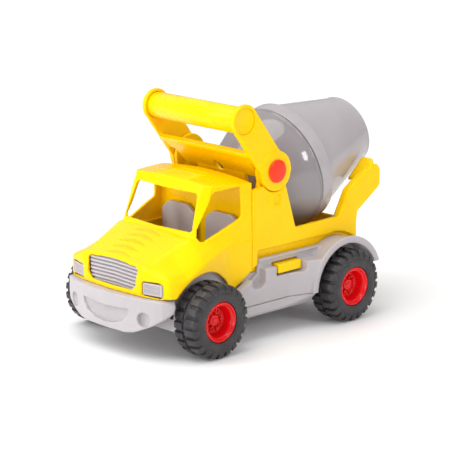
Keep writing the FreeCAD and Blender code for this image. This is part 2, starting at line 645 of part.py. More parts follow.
    # bumper face: two round lamp wells, the wide crescent between them and rounded ends
    for side, sign in (("left", 1), ("right", -1)):
        circle_pad(body, "lamp_well_" + side, "XZ_Plane", (46.8 * sign, 38.3), 6.6, 9.0, 149.6,
                   kind="Pocket").Reversed = True
        for label, outline in (("undercut", BUMPER_UNDERCUT), ("shoulder", BUMPER_SHOULDER)):
            outline_pad(body, "bumper_" + label + "_" + side, "XZ_Plane", [
                (sign * across, up) for across, up in outline], 42.0, 124.0,
                kind="Pocket").Reversed = True
    outline_pad(body, "crescent", "XZ_Plane", [
        (-31.0, 46.0), (-29.0, 39.8), (-23.5, 34.0), (-14.0, 30.2), (0.0, 28.6), (14.0, 30.2),
        (23.5, 34.0), (29.0, 39.8), (31.0, 46.0), (20.0, 44.6), (0.0, 43.8), (-20.0, 44.6)],
        9.0, 154.6, kind="Pocket").Reversed = True
    for label, centre in (("front", wheel_front), ("rear", wheel_rear)):
        circle_pad(body, "axle_bearing_" + label, "YZ_Plane", centre, D["axle_radius"] + 0.06,
                   150.0, midplane=True, kind="Pocket")
    doc.recompute()
    return body


def make_base_plate():
    """Grey pan that closes the chassis from below and holds both axles in their half bearings."""
    body = new_body("base_plate")
    seam, belly = D["seam_z"] - 0.1, D["belly_z"]
    half, sill = D["chassis_half"], D["sill_half"]
    tail, wall = D["tail_y"], D["wall"]
    outline_pad(body, "pan", "XY_Plane", [
        (-half, -122.0), (half, -122.0), (half, tail), (-half, tail)], seam - belly, belly)
    outline_pad(body, "pan_sides", "XY_Plane", [
        (-sill, -62.0), (sill, -62.0), (sill, FLARE_FRONT), (PAN_FLARE, 38.0),
        (-PAN_FLARE, 38.0), (-sill, FLARE_FRONT)], seam - belly, belly)
    depth = 26.0
    for side, start in (("left", half + 0.2), ("right", -half - 0.2 - depth)):
        for label, axle in (("front", D["axle_y_front"]), ("rear", D["axle_y_rear"])):
            circle_pad(body, "arch_" + label + "_" + side, "YZ_Plane",
                       (axle, D["tyre_radius"]), D["arch_radius"], depth, start,
                       kind="Pocket").Reversed = True
    outline_pad(body, "pan_hollow", "XY_Plane", [
        (-half + wall, -122.0 + wall), (half - wall, -122.0 + wall), (half - wall, tail - wall),
        (-half + wall, tail - wall)], seam - belly, belly + wall, kind="Pocket").Reversed = True
    for side, low in (("left", half + 1.0), ("right", -sill + wall)):
        outline_pad(body, "side_hollow_" + side, "YZ_Plane", [
            (-44.0, belly + wall), (29.0, belly + wall), (29.0, seam + 1), (-44.0, seam + 1)],
            sill - half - wall - 1.0, low, kind="Pocket").Reversed = True
    for side, sign in (("left", 1), ("right", -1)):
        outline_pad(body, "side_round_" + side, "XZ_Plane", [
            (sign * across, up) for across, up in PAN_ROUND], 112.0, -42.0,
            kind="Pocket").Reversed = True
    for across in (-40.0, 40.0):
        for y in (-115.0, -20.0, 98.0):
            name = "screw_post_" + str(int(across + 40)) + "_" + str(int(y + 120))
            circle_pad(body, name, "XY_Plane", (across, y), 4.4, seam - belly - 1.5, belly + 1.0)
            circle_pad(body, name + "_bore", "XY_Plane", (across, y), 1.6, 30.0, belly - 5,
                       kind="Pocket").Reversed = True
            circle_pad(body, name + "_head", "XY_Plane", (across, y), 3.4, 4.0, belly - 1.8,
                       kind="Pocket").Reversed = True
    for label, axle in (("front", D["axle_y_front"]), ("rear", D["axle_y_rear"])):
        circle_pad(body, "axle_bearing_" + label, "YZ_Plane", (axle, D["tyre_radius"]),
                   D["axle_radius"] + 0.06, 150.0, midplane=True, kind="Pocket")
    doc.recompute()
    return body


def make_screws():
    """Six self-tapping screws up through the base plate; one group of separate solids."""
    solids = []
    belly = float(D["belly_z"])
    for across in (-40.0, 40.0):
        for y in (-115.0, -20.0, 98.0):
            head = Part.makeCylinder(3.1, 1.9, Vec(across, y, belly + 0.3))
            slot = Part.makeBox(0.8, 4.0, 1.0, Vec(across - 0.4, y - 2.0, belly - 0.1))
            cross = Part.makeBox(4.0, 0.8, 1.0, Vec(across - 2.0, y - 0.4, belly - 0.1))
            shank = Part.makeCylinder(1.5, 9.0, Vec(across, y, belly + 1.9))
            solids.append(head.fuse(shank).cut(slot).cut(cross).removeSplitter())
    screws = doc.addObject("Part::Feature", "base_screws")
    screws.Label = "base_screws"
    screws.Shape = Part.makeCompound(solids)
    return screws


# ---------------------------------------------------------------- cab

# Cross-sections of the bonnet and door body: Y, half width, wing height, bonnet half width,
# bonnet edge height and crown height.
CAB_SECTIONS = [
    (-156.0, 70.0, 68.0, 36.0, 82.0, 84.5),
    (-140.0, 70.0, 76.0, 39.0, 86.5, 89.0),
    (-121.5, 70.0, 78.0, 43.0, 94.0, 97.5),
    (-100.5, 69.0, 89.0, 48.0, 102.0, 105.5),
    (-72.0, 63.0, 97.0, 56.0, 103.0, 104.0),
    (-34.4, 61.5, 98.0, 59.0, 102.0, 103.0),
]
CAB_PLAN = [(61.5, -34.4), (61.5, -64.0), (65.0, -76.0), (69.0, -88.0), (70.0, -131.0),
            (67.0, -140.0), (59.0, -145.5), (38.0, -150.0), (0.0, -152.6)]
BELT_PLAN = [(61.3, -34.4), (60.5, -62.0), (55.5, -92.5), (45.0, -100.0), (0.0, -104.0)]
ROOF_PLAN = [(60.3, -34.4), (58.0, -48.0), (50.5, -74.0), (44.0, -79.0), (0.0, -82.0)]
BELT_Z = 97.0
# The nose leans back: Y and height at its foot, carried down, and at its brow, carried up.
NOSE_RAKE = (-154.8, 44.0), (-143.3, 114.0)
CAB_LOW = 52.0


def two_sided(half_points):
    """Mirror a half outline of (across, along) points that ends on the middle line."""
    middle = [point for point in half_points if point[0] == 0.0]
    sides = [point for point in half_points if point[0] != 0.0]
    return sides + middle + [(-across, along) for across, along in reversed(sides)]


def face_at(points, z):
    corners = [Vec(across, along, z) for across, along in points]
    return Part.Face(Part.makePolygon(corners + corners[:1]))


def cab_form(inset):
    """The cab's outer form, or the same form pulled in by the wall's thickness."""
    rings = []
    for y, wide, wing, bonnet, edge, crown in CAB_SECTIONS:
        half = [(wide - inset, CAB_LOW - 6), (wide - inset, wing - 6 - inset),
                (wide - 5 - inset, wing - inset), (bonnet - inset, edge - inset),
                (0.0, crown - inset)]
        corners = [Vec(across, y, up) for across, up in two_sided(half)]
        rings.append(Part.makePolygon(corners + corners[:1]))
    lower = Part.makeLoft(rings, True, True)
    plan = [(across - inset, y + inset) if across else (0.0, y + inset) for across, y in CAB_PLAN]
    plan[0] = (plan[0][0], float(D["cab_rear"]) - inset)
    lower = lower.common(face_at(two_sided(plan), CAB_LOW - 8).extrude(Vec(0, 0, 80)))
    (foot_y, foot_z), (brow_y, brow_z) = NOSE_RAKE
    lower = lower.common(prism([
        (foot_y + inset, foot_z), (brow_y + inset, brow_z), (0.0, brow_z), (0.0, foot_z)],
        -90, 90, "X"))
    wires = []
    for outline, z in ((BELT_PLAN, BELT_Z - 3), (ROOF_PLAN, float(D["roof_z"]))):
        ring = [(across - inset, y + inset) if across else (0.0, y + inset)
                for across, y in outline]
        ring[0] = (ring[0][0], float(D["cab_rear"]) - inset)
        corners = [Vec(across, y, z - (inset if z > 100 else 0)) for across, y in
                   two_sided(ring)]
        wires.append(Part.makePolygon(corners + corners[:1]))
    house = Part.makeLoft(wires, True, True)
    crown = Part.makeCylinder(420.0, 200.0, Vec(0, -160, float(D["roof_z"]) - inset - 420.0),
                              Vec(0, 1, 0))
    house = house.common(crown)
    return lower.fuse(house)


def prism(points, low, high, axis):
    """A straight prism along X or Y from an outline in the plane square to it."""
    if axis == "X":
        corners = [Vec(low, a, b) for a, b in points]
        reach = Vec(high - low, 0, 0)
    else:
        corners = [Vec(a, low, b) for a, b in points]
        reach = Vec(0, high - low, 0)
    return Part.Face(Part.makePolygon(corners + corners[:1])).extrude(reach)


WINDSCREEN = [(44.0, 106.6), (45.0, 109.0), (41.0, 137.0), (38.5, 139.8), (-38.5, 139.8),
              (-41.0, 137.0), (-45.0, 109.0), (-44.0, 106.6)]
SIDE_WINDOW = [(-48.2, 144.0), (-46.6, 142.0), (-46.4, 118.0), (-48.0, 115.4), (-88.0, 98.8),
               (-92.0, 99.4), (-92.6, 103.0), (-90.8, 110.0), (-76.2, 139.0), (-73.0, 141.4)]
GRILLE_GAP = [(-33.5, 80.4), (-31.5, 81.8), (0.0, 84.0), (31.5, 81.8), (33.5, 80.4),
              (32.5, 66.0), (27.0, 61.0), (-27.0, 61.0), (-32.5, 66.0)]
LAMP_GAP = [(39.6, 58.8), (59.5, 58.0), (61.5, 60.5), (61.0, 70.5), (58.5, 72.4), (41.5, 71.8),
            (39.6, 69.8)]


def make_cab_shell():
    """One-piece yellow cab: bonnet, wings, doors and roof over a hollow inside, open below."""
    outer = cab_form(0.0)
    inner = cab_form(float(D["cab_wall"]))
    shell = outer.cut(inner)
    edge = prism([(-160.0, 40.0), (-33.0, 40.0), (-33.0, 65.2), (-42.4, 58.8), (-57.0, 51.0),
                  (-129.0, 51.0), (-132.0, float(D["bumper_top"]) + 0.4),
                  (-160.0, float(D["bumper_top"]) + 0.4)], -100, 100, "X")
    shell = shell.cut(edge)
    axle = Vec(-100, float(D["axle_y_front"]), float(D["tyre_radius"]))
    shell = shell.cut(Part.makeCylinder(41.0, 200, axle, Vec(1, 0, 0)))
    shell = shell.cut(prism(WINDSCREEN, -112.0, -70.0, "Y"))
    for start in (-75.0, 40.0):
        shell = shell.cut(prism(SIDE_WINDOW, start, start + 35.0, "X"))
    shell = shell.cut(prism(GRILLE_GAP, -160.0, -140.0, "Y"))
    for side in (-1, 1):
        gap = [(side * across, up) for across, up in LAMP_GAP]
        shell = shell.cut(prism(gap, -160.0, -136.0, "Y"))
    # roof panel: a shallow sunk field with four slats, and a narrow slot behind it
    top = float(D["roof_z"])
    sunk = Part.makeBox(44, 24, 4, Vec(-22, -79, top - 1.4))
    for k in range(4):
        sunk = sunk.cut(Part.makeBox(40, 2.2, 4, Vec(-20, -76.4 + 5.6 * k, top - 2)))
    shell = shell.cut(sunk).cut(Part.makeBox(36, 3, 4, Vec(-18, -50, top - 1.4)))
    # bonnet louvres: shallow arcs cut across the crown
    for k in range(5):
        y = -107.5 - 8.6 * k
        z = 105.2 - (abs(y) - 100.5) * 0.40
        louvre = Part.makeBox(34 - k, 1.0, 3.0, Vec(-17 + k / 2, y, z - 1.6))
        shell = shell.cut(louvre)
    cab = doc.addObject("Part::Feature", "cab_shell")
    cab.Label = "cab_shell"
    cab.Shape = shell.removeSplitter()
    return cab


def make_seat_insert():
    """Grey cab floor moulded with two high-backed seats."""
    body = new_body("seat_insert")
    low = D["deck_z"] + 0.1
    outline_pad(body, "cab_floor", "XY_Plane", [
        (-54.0, -92.0), (54.0, -92.0), (54.0, -38.2), (-54.0, -38.2)], 3.0, low)
    backs, cushions = [], []
    for side in (-1, 1):
        label = "left" if side > 0 else "right"
        outline = [(side * across, up) for across, up in [
            (8.0, 63.0), (51.5, 63.0), (51.5, 107.0), (42.0, 114.2), (17.5, 114.2), (8.0, 107.0)]]
        backs.append(outline_pad(body, "seat_back_" + label, "XZ_Plane", outline, 5.0, 38.4))
        cushions.append(outline_pad(body, "seat_" + label, "YZ_Plane", [
            (-42.0, 63.0), (-42.0, 82.0), (-48.0, 80.0), (-66.0, 81.5), (-69.0, 79.0),
            (-69.0, 63.0)], 42.0, 8.8 if side > 0 else -50.8))
    doc.recompute()
    return body


def make_grille_insert():
    """Grey plate behind the nose with six cross bars standing in the opening."""
    body = new_body("grille_insert")
    outline_pad(body, "plate", "XZ_Plane", [
        (-35.0, 60.0), (35.0, 60.0), (35.0, 82.4), (0.0, 84.8), (-35.0, 82.4)], 2.4, 142.0)
    for k in range(6):
        up = 62.8 + 3.4 * k
        reach = {0: 26.8, 5: 30.8}.get(k, 32.0)
        outline_pad(body, "bar_" + str(k), "XZ_Plane", [
            (-reach, up), (0.0, up + 0.8), (reach, up), (reach, up + 1.6), (0.0, up + 2.4),
            (-reach, up + 1.6)], 3.8, 144.0)
    doc.recompute()
    return body


def make_headlight(name, side):
    """Grey lamp block set in its opening; its face follows the nose."""
    body = new_body(name)
    points = [(40.6, -149.0), (60.2, -144.3), (59.2, -138.6), (40.6, -143.4)]
    outline_pad(body, name + "_block", "XY_Plane", [
        (side * across, y) for across, y in points], 10.9, 59.6)
    doc.recompute()
    return body


# ---------------------------------------------------------------- assembly

NODES = {}


def keep(node, piece):
    piece.Label = node
    NODES[node] = piece


for place, axle_y in (("front", D["axle_y_front"]), ("rear", D["axle_y_rear"])):
    keep("axle_" + place, make_axle("axle_" + place, axle_y))
    for hand, side in (("left", 1), ("right", -1)):
        tag = "_" + place + "_" + hand
        keep("tyre" + tag, make_tyre("tyre" + tag, side, axle_y))
        keep("rim" + tag, make_rim("rim" + tag, side, axle_y))

keep("drum_front_shell", make_drum_front())
keep("drum_rear_shell", make_drum_rear())
keep("drum_axle", make_drum_axle())
keep("drum_retainer", make_drum_retainer())
keep("tilt_frame", make_tilt_frame())
keep("handle_bar", make_handle_bar())
keep("pivot_pin_left", make_pivot_pin("pivot_pin_left", 1))
keep("pivot_pin_right", make_pivot_pin("pivot_pin_right", -1))
keep("mixer_frame", make_mixer_frame())
keep("chassis", make_chassis())
keep("base_plate", make_base_plate())
keep("base_screws", make_screws())
keep("cab_shell", make_cab_shell())
keep("seat_insert", make_seat_insert())
keep("grille_insert", make_grille_insert())
keep("headlight_left", make_headlight("headlight_left", 1))
keep("headlight_right", make_headlight("headlight_right", -1))

doc.recompute()
for item in doc.Objects:
    if "Invalid" in item.State or "Error" in item.State:
        raise RuntimeError("failed object: " + item.Name)

os.makedirs("parts", exist_ok=True)
for node, piece in NODES.items():
    shape = piece.Shape
    if shape.isNull() or not shape.isValid():
        raise RuntimeError("bad shape: " + node)
    shape.exportStep("parts/" + node + ".step")
    box = shape.optimalBoundingBox()
    print(node, len(shape.Solids), round(shape.Volume / 1000, 2), "cm3",
          [round(v, 1) for v in (box.XMin, box.XMax, box.YMin, box.YMax, box.ZMin, box.ZMax)])
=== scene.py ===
import bmesh
import bpy
import json
import math
from mathutils import Matrix, Vector
from mathutils.bvhtree import BVHTree


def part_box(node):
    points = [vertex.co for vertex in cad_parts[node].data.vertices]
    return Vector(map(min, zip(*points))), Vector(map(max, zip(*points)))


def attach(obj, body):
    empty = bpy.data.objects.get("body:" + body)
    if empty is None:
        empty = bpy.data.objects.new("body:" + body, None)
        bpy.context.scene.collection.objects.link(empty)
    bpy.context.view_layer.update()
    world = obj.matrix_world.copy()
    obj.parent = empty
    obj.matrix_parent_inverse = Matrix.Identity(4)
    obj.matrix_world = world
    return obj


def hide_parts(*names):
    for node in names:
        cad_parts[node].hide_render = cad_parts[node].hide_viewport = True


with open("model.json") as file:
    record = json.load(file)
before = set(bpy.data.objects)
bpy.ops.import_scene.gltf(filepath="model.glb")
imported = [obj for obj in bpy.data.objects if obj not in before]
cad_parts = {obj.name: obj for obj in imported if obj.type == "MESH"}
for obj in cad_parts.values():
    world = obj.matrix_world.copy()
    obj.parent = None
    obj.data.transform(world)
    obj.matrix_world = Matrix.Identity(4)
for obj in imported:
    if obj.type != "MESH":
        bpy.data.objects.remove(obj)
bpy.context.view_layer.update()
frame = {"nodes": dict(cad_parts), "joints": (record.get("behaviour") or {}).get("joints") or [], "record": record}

# Looks for the toy cement mixer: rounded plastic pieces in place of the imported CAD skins.
# Lengths are in metres; MM turns millimetres into metres.

MM = 0.001


# ---------------------------------------------------------------- materials

class Shader:
    """A new material with short calls for its nodes and links."""

    def __init__(self, name):
        self.material = bpy.data.materials.new(name)
        self.material.use_nodes = True
        self.tree = self.material.node_tree
        self.surface = self.tree.nodes["Principled BSDF"]
        self.place = self.node("ShaderNodeTexCoord").outputs["Object"]

    def node(self, kind, **values):
        made = self.tree.nodes.new(kind)
        for name, value in values.items():
            setattr(made, name, value)
        return made

    def link(self, source, target):
        self.tree.links.new(source, target)

    def set(self, **values):
        for name, value in values.items():
            self.surface.inputs[name.replace("_", " ")].default_value = value

    def noise(self, scale, detail=3.0, roughness=0.5, distortion=0.0):
        """A noise value in the piece's own coordinates."""
        made = self.node("ShaderNodeTexNoise")
        self.link(self.place, made.inputs["Vector"])
        made.inputs["Scale"].default_value = scale
        made.inputs["Detail"].default_value = detail
        made.inputs["Roughness"].default_value = roughness
        made.inputs["Distortion"].default_value = distortion
        return made.outputs["Fac"]

    def spread(self, source, low, high, to_low=0.0, to_high=1.0):
        """A value between low and high carried over to between to_low and to_high."""
        made = self.node("ShaderNodeMapRange")
        self.link(source, made.inputs["Value"])
        for name, value in (("From Min", low), ("From Max", high),
                            ("To Min", to_low), ("To Max", to_high)):
            made.inputs[name].default_value = value
        return made.outputs["Result"]

    def blend(self, amount, first, second):
        """A mix of two colours, each a tuple or the output of another node."""
        made = self.node("ShaderNodeMix", data_type="RGBA")
        self.link(amount, made.inputs["Factor"])
        colours = [s for s in made.inputs if s.type == "RGBA"]
        for socket, colour in zip(colours, (first, second)):
            if isinstance(colour, tuple):
                socket.default_value = (*colour, 1.0)
            else:
                self.link(colour, socket)
        return [s for s in made.outputs if s.type == "RGBA"][0]

    def bump(self, layers):
        """Stack (height source, distance in metres, strength) layers of bump."""
        normal = None
        for height, distance, strength in layers:
            made = self.node("ShaderNodeBump")
            made.inputs["Distance"].default_value = distance
            made.inputs["Strength"].default_value = strength
            self.link(height, made.inputs["Height"])
            if normal is not None:
                self.link(normal, made.inputs["Normal"])
            normal = made.outputs["Normal"]
        self.link(normal, self.surface.inputs["Normal"])


def worn_edges(shader):
    """About 0 on flat faces and up to 1 on convex edges, broken up by noise."""
    shape = shader.node("ShaderNodeNewGeometry").outputs["Pointiness"]
    edge = shader.spread(shape, 0.52, 0.62)
    mask = shader.spread(shader.noise(140.0, 4.0), 0.42, 0.62)
    both = shader.node("ShaderNodeMath", operation="MULTIPLY")
    shader.link(edge, both.inputs[0])
    shader.link(mask, both.inputs[1])
    return both.outputs["Value"]


def moulded_plastic(name, colour, shade, pale, roughness, scatter, coat, peel=0.3,
                    gloss=(1.0, 1.0, 1.0)):
    """Glossy injection-moulded plastic: flow clouds, faint orange peel, scuffs and pale edges."""
    shader = Shader(name)
    cloud = shader.spread(shader.noise(16.0, 3.0, 0.55, 0.6), 0.35, 0.7)
    body = shader.blend(cloud, colour, shade)
    shader.link(shader.blend(worn_edges(shader), body, pale), shader.surface.inputs["Base Color"])
    scuff = shader.noise(420.0, 6.0, 0.65, 0.3)
    shader.link(shader.spread(scuff, 0.3, 0.75, roughness - 0.05, roughness + 0.10),
                shader.surface.inputs["Roughness"])
    shader.bump([(shader.noise(260.0, 2.0), 0.00010, peel),
                 (shader.noise(1500.0, 2.0), 0.00001, 0.15)])
    shader.set(IOR=1.42, Specular_IOR_Level=0.35, Coat_Weight=coat, Coat_Roughness=0.06,
               Subsurface_Weight=scatter, Subsurface_Scale=0.004,
               Subsurface_Radius=(1.0, 0.55, 0.2), Specular_Tint=(*gloss, 1.0))
    return shader.material


def tyre_plastic():
    """Charcoal soft plastic: satin walls, dusty patches at random, fine mould grain."""
    shader = Shader("tyre_plastic")
    dust = shader.spread(shader.noise(90.0, 5.0, 0.6), 0.4, 0.75)
    body = shader.blend(dust, (0.018, 0.016, 0.018), (0.04, 0.036, 0.038))
    pale = worn_edges(shader)
    shader.link(shader.blend(pale, body, (0.085, 0.08, 0.082)),
                shader.surface.inputs["Base Color"])
    shader.link(shader.spread(shader.noise(300.0, 4.0), 0.3, 0.7, 0.38, 0.58),
                shader.surface.inputs["Roughness"])
    shader.bump([(shader.noise(900.0, 3.0), 0.00005, 0.5)])
    shader.set(IOR=1.5, Sheen_Weight=0.05, Sheen_Roughness=0.5)
    return shader.material


def drawn_steel():
    """Bright drawn wire with fine lengthwise scratches."""
    shader = Shader("drawn_steel")
    stretch = shader.node("ShaderNodeMapping")
    stretch.inputs["Scale"].default_value = (0.05, 1.0, 1.0)
    shader.link(shader.place, stretch.inputs["Vector"])
    grain = shader.node("ShaderNodeTexNoise")
    grain.inputs["Scale"].default_value = 3000.0
    grain.inputs["Detail"].default_value = 4.0
    shader.link(stretch.outputs["Vector"], grain.inputs["Vector"])
    streak = grain.outputs["Fac"]
    shader.link(shader.blend(streak, (0.48, 0.47, 0.46), (0.70, 0.69, 0.68)),
                shader.surface.inputs["Base Color"])
    shader.link(shader.spread(streak, 0.3, 0.7, 0.24, 0.42), shader.surface.inputs["Roughness"])
    shader.bump([(streak, 0.00002, 0.5)])
    shader.set(Metallic=1.0)
    return shader.material


YELLOW = moulded_plastic(
    "yellow_plastic", colour=(1.0, 0.63, 0.0), shade=(0.99, 0.575, 0.0), pale=(1.0, 0.72, 0.02),
    roughness=0.24, scatter=0.08, coat=0.10, gloss=(1.0, 0.85, 0.15))
GREY = moulded_plastic(
    "grey_plastic", colour=(0.475, 0.44, 0.455), shade=(0.435, 0.405, 0.42),
    pale=(0.58, 0.55, 0.57), roughness=0.30, scatter=0.05, coat=0.15)
DRUM = moulded_plastic(
    "drum_plastic", colour=(0.42, 0.385, 0.40), shade=(0.38, 0.35, 0.365),
    pale=(0.50, 0.48, 0.49), roughness=0.20, scatter=0.02, coat=0.35, peel=0.1)
# The front dome's darker grey is painted shade: a darker copy of the drum's grey.
DOME_PAINTED_SHADE = moulded_plastic(
    "dome_plastic_painted_shade", colour=(0.27, 0.245, 0.26), shade=(0.245, 0.225, 0.235),
    pale=(0.36, 0.34, 0.35), roughness=0.14, scatter=0.02, coat=0.6, peel=0.1)
RED = moulded_plastic(
    "red_plastic", colour=(0.76, 0.003, 0.006), shade=(0.62, 0.002, 0.004),
    pale=(0.90, 0.05, 0.03), roughness=0.20, scatter=0.08, coat=0.20)
PIN = moulded_plastic(
    "pin_plastic", colour=(0.95, 0.045, 0.008), shade=(0.90, 0.035, 0.006),
    pale=(1.0, 0.16, 0.06), roughness=0.28, scatter=0.08, coat=0.05)
TYRE = tyre_plastic()
STEEL = drawn_steel()
# Deeper orange for the bonnet louvre ribs and roof slats: painted shade in the grooves.
YELLOW_PAINTED_SHADE = moulded_plastic(
    "yellow_ribs_painted_shade", colour=(0.98, 0.50, 0.0), shade=(0.96, 0.45, 0.0), pale=(1.0, 0.60, 0.02),
    roughness=0.30, scatter=0.08, coat=0.05)
SLOT_LOOK = {"yellow_plastic": YELLOW, "grey_plastic": GREY, "drum_plastic": DRUM,
             "red_plastic": RED, "pin_plastic": PIN, "tyre_black": TYRE, "axle_steel": STEEL,
             "axle_grey": GREY}
NODE_SLOT = {part["node"]: part["material_slot"] for part in frame["record"]["subparts"]}
NODE_BODY = {node: body for body, members in frame["record"]["behaviour"]["bodies"].items()
             for node in members}


# ---------------------------------------------------------------- pieces

ON_AXIS_MM = 0.02      # a turned outline's points nearer the axis than this lie on it
SAME_CORNER_MM = 0.004
FLAT_DEGREES = 0.6
STRAIGHT_DEGREES = 8
SIDE_SHARE = 0.45      # how much of a side the rounding of one corner may use up


def smooth_shade(mesh, angle):
    """Shade smooth, but keep the edges that turn by more than the angle in degrees."""
    mesh.shade_smooth()
    mesh.set_sharp_from_angle(angle=math.radians(angle))


def place_piece(mesh, name, node, replaces=True):
    """Link a finished mesh as a piece of a CAD node's body, with that node's finish."""
    piece = bpy.data.objects.new(name, mesh)
    bpy.context.scene.collection.objects.link(piece)
    slot = NODE_SLOT[node]
    mesh.materials.clear()
    mesh.materials.append(SLOT_LOOK[slot])
    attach(piece, NODE_BODY[node])
    if replaces:
        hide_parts(node)
    return piece


def mesh_from(bm, name):
    """A bmesh as a mesh with its normals outwards; the bmesh is freed."""
    mesh = bpy.data.meshes.new(name)
    bmesh.ops.recalc_face_normals(bm, faces=bm.faces)
    bm.to_mesh(mesh)
    bm.free()
    return mesh


def applied(mesh, *modifiers):
    """The mesh with modifiers applied; each is (type, {settings})."""
    scratch = bpy.data.objects.new("scratch", mesh)
    bpy.context.scene.collection.objects.link(scratch)
    for kind, settings in modifiers:
        made = scratch.modifiers.new(kind, kind)
        for name, value in settings.items():
            setattr(made, name, value)
    ready = scratch.evaluated_get(bpy.context.evaluated_depsgraph_get())
    result = bpy.data.meshes.new_from_object(ready)
    bpy.data.objects.remove(scratch)
    return result


def clean_copy(node):
    """A CAD node's mesh as plain polygons: joined corners and no flat triangulation."""
    bm = bmesh.new()
    bm.from_mesh(frame["nodes"][node].data)
    bmesh.ops.remove_doubles(bm, verts=bm.verts, dist=SAME_CORNER_MM * MM)
    bmesh.ops.dissolve_limit(bm, angle_limit=math.radians(FLAT_DEGREES), verts=bm.verts,
                             edges=bm.edges)
    return bm


def catmull(points, steps):
    """A smooth open curve through the points, with a number of steps between each two."""
    ends = [points[0]] + list(points) + [points[-1]]
    out = []
    for k in range(len(points) - 1):
        p0, p1, p2, p3 = ends[k:k + 4]
        for step in range(steps):
            t = step / steps
            out.append(tuple(
                0.5 * (2 * b + (c - a) * t + (2 * a - 5 * b + 4 * c - d) * t * t
                       + (3 * b - a - 3 * c + d) * t ** 3)
                for a, b, c, d in zip(p0, p1, p2, p3)))
    return out + [tuple(points[-1])]


def eased(points, radius, steps=4):
    """A closed outline with each corner rounded as far as its sides allow."""
    out = []
    count = len(points)
    for k in range(count):
        before, here, after = (Vector(points[(k + step) % count]) for step in (-1, 0, 1))
        to_before, to_after = before - here, after - here
        turn = math.pi - to_before.angle(to_after)
        if turn < math.radians(STRAIGHT_DEGREES):
            out.append(tuple(here))
            continue
        reach = min(radius * math.tan(turn / 2), to_before.length * SIDE_SHARE,
                    to_after.length * SIDE_SHARE)
        start = here + to_before.normalized() * reach
        end = here + to_after.normalized() * reach
        for step in range(steps + 1):
            t = step / steps
            point = start * (1 - t) ** 2 + here * 2 * t * (1 - t) + end * t ** 2
            out.append(tuple(point))
    return out


def frame_at(origin, along):
    """Places local Z on a direction through a point of the truck."""
    turn = Vector(along).to_track_quat("Z", "Y").to_matrix().to_4x4()
    return Matrix.Translation(Vector(origin)) @ turn


def turned(bm, outline, steps=96):
    """Turn a closed list of (radius, station) points about local Z and add the skin to bm."""
    rings = []
    for radius, station in outline:
        if radius < ON_AXIS_MM * MM:
            rings.append([bm.verts.new((0.0, 0.0, station))])
            continue
        rings.append([bm.verts.new((radius * math.cos(2 * math.pi * k / steps),
                                    radius * math.sin(2 * math.pi * k / steps), station))
                      for k in range(steps)])
    for k in range(len(rings)):
        one, two = rings[k], rings[(k + 1) % len(rings)]
        for j in range(steps):
            corners = [one[j % len(one)], one[(j + 1) % len(one)],
                       two[(j + 1) % len(two)], two[j % len(two)]]
            corners = list(dict.fromkeys(corners))
            if len(corners) > 2:
                bm.faces.new(corners)


def turned_piece(node, name, outline, place, steps=96, angle=32.0):
    """A piece from a turned outline in millimetres; place carries it to the truck."""
    bm = bmesh.new()
    turned(bm, [(r * MM, s * MM) for r, s in outline], steps)
    bm.transform(place)
    mesh = mesh_from(bm, name)
    smooth_shade(mesh, angle)
    return place_piece(mesh, name, node)


# ---------------------------------------------------------------- wheels

LUGS = 22
LUG_GAP_MM = 3.2
LUG_WALL_MM = 0.45
LUG_DEPTH_MM = 2.5
TYRE_BORE_MM = 18.7
SHOULDER_START_MM = 10.0
SHOULDER_WIDTH_MM = 4.0
SHOULDER_DROP = 0.55    # share of a gap's depth that is lost towards the side wall
SHOULDER_PULL = 0.45    # share of it that is cut inwards there instead


def lug_angles(radius):
    """Angles that put an edge loop on both sides of every block wall of both rows."""
    pitch = 2 * math.pi / LUGS
    half, wall = LUG_GAP_MM / 2 / radius, LUG_WALL_MM / radius
    near = [-half - wall, -half, half, half + wall]
    inside = near + [pitch / 4] + [angle + pitch / 2 for angle in near] + [pitch * 3 / 4]
    return [lug * pitch + angle for lug in range(LUGS) for angle in inside], pitch, half, wall


def gap_depth(angle, pitch, half, wall, shift):
    """1 in the gap between two blocks, 0 on a block, and a steep wall between."""
    off = abs((angle - shift + pitch / 2) % pitch - pitch / 2)
    return 1.0 - min(max((off - half) / wall, 0.0), 1.0)


# Half section of the tyre from its bore to the middle of the tread, in millimetres:
# distance out from the middle, radius, and how much of a gap's depth reaches there.
TYRE_HALF = [
    (8.0, 18.7, 0.0), (12.4, 18.7, 0.0), (13.6, 19.0, 0.0), (14.2, 19.8, 0.0), (14.45, 21.2, 0.0),
    (14.5, 23.0, 0.0), (14.4, 25.0, 0.0), (14.1, 26.6, 0.0), (13.9, 27.0, 0.0),
    (14.2, 27.5, 0.05), (14.25, 28.4, 0.25), (14.1, 29.4, 0.6), (13.7, 30.8, 0.9),
    (13.0, 32.3, 1.0), (12.0, 33.4, 1.0), (10.8, 33.9, 1.0), (8.0, 34.0, 1.0), (5.0, 34.0, 1.0),
    (2.2, 34.0, 1.0), (1.7, 33.9, 1.0), (1.2, 32.0, 0.2), (0.6, 31.6, 0.0)]


